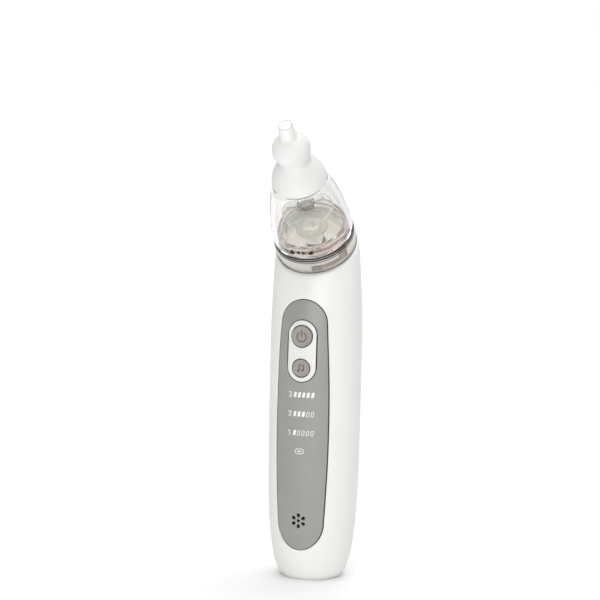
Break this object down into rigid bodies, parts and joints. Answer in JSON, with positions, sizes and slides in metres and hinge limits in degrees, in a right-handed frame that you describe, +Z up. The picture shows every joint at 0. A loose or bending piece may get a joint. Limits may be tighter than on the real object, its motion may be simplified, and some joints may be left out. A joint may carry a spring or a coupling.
{
  "type": "nasal aspirator",
  "caption": "Handheld electric nasal aspirator: round white handle with a front button panel, tilted clear collecting cup with a drip baffle, and a soft silicone nose tip.",
  "frame": {"origin": "centre of the flat base that the handle stands on", "axes": "+Z up along the handle from its base, -Y towards the front with the buttons and the tilted cup, +X to the right of someone facing that front"},
  "size_m": [0.0402, 0.07, 0.2022],
  "materials": {
    "white_shell": "satin white ABS",
    "grey_panel": "satin mid grey ABS",
    "button_silicone": "matt warm grey silicone",
    "clear_cup": "polished clear polycarbonate",
    "frosted_silicone": "frosted translucent white silicone",
    "seal_silicone": "soft translucent pinkish silicone",
    "filter_felt": "white felt",
    "black_rubber": "matt black rubber",
    "dark_plastic": "matt dark grey nylon",
    "natural_plastic": "natural white acetal",
    "steel": "plain drawn steel",
    "screw_steel": "bright zinc plate",
    "circuit_board": "green solder mask",
    "light_lens": "clear white resin",
    "battery_wrap": "blue heat-shrink wrap over a metal can",
    "foam": "open-cell dark foam",
    "red_wire": "red PVC insulation",
    "black_wire": "black PVC insulation"
  },
  "bodies": {
    "handle": {"front_shell": "white_shell", "rear_shell": "white_shell", "button_bezel": "white_shell", "bayonet_neck": "white_shell", "control_panel": "grey_panel", "port_seal": "button_silicone", "shell_screw_1": "screw_steel", "shell_screw_2": "screw_steel", "shell_screw_3": "screw_steel", "shell_screw_4": "screw_steel", "board_screw_1": "screw_steel", "board_screw_2": "screw_steel", "main_board": "circuit_board", "charge_board": "circuit_board", "power_switch": "dark_plastic", "music_switch": "dark_plastic", "speaker": "dark_plastic", "motor_end_cap": "dark_plastic", "pump_housing": "dark_plastic", "pump_cover": "dark_plastic", "level_light_1": "light_lens", "level_light_2": "light_lens", "level_light_3": "light_lens", "charge_light": "light_lens", "speaker_gasket": "black_rubber", "motor_sleeve": "black_rubber", "diaphragm": "black_rubber", "charging_port": "steel", "motor_can": "steel", "inner_chassis": "natural_plastic", "wobble_plate": "natural_plastic", "valve_plate": "natural_plastic", "battery_cell": "battery_wrap", "suction_hose": "frosted_silicone", "exhaust_hose": "frosted_silicone", "exhaust_muffler": "foam", "battery_wire_plus": "red_wire", "motor_wire_plus": "red_wire", "speaker_wire_plus": "red_wire", "charge_wire_plus": "red_wire", "battery_wire_minus": "black_wire", "motor_wire_minus": "black_wire", "speaker_wire_minus": "black_wire", "charge_wire_minus": "black_wire", "air_filter": "filter_felt"},
    "power_button": {"power_button": "button_silicone"},
    "music_button": {"music_button": "button_silicone"},
    "pump_rotor": {"motor_shaft": "steel", "crank_pin": "steel"},
    "cup": {"cup_base": "clear_cup", "cup_well": "clear_cup", "air_column": "clear_cup", "dome_seal": "seal_silicone"},
    "dome": {"cup_dome": "clear_cup", "drip_baffle": "clear_cup"},
    "tip": {"silicone_tip": "frosted_silicone"}
  },
  "joints": [
    {"name": "power_press", "type": "slide", "parent": "handle", "child": "power_button", "axis": [0, 1, 0], "range_m": [0, 0.0006], "stiffness_N_per_m": 800},
    {"name": "music_press", "type": "slide", "parent": "handle", "child": "music_button", "axis": [0, 1, 0], "range_m": [0, 0.0006], "stiffness_N_per_m": 800},
    {"name": "motor_spin", "type": "hinge", "parent": "handle", "child": "pump_rotor", "pos_m": [0, 0.0035, 0.1], "axis": [0, 0, 1], "continuous": true},
    {"name": "cup_twist", "type": "hinge", "parent": "handle", "child": "cup", "pos_m": [0, -0.00216, 0.1464], "axis": [0, -0.6455, 0.7638], "range_deg": [0, 45]},
    {"name": "dome_lift", "type": "slide", "parent": "cup", "child": "dome", "axis": [0, -0.6455, 0.7638], "range_m": [0, 0.03]},
    {"name": "tip_pull", "type": "slide", "parent": "dome", "child": "tip", "axis": [0, -0.6455, 0.7638], "range_m": [0, 0.025]}
  ]
}
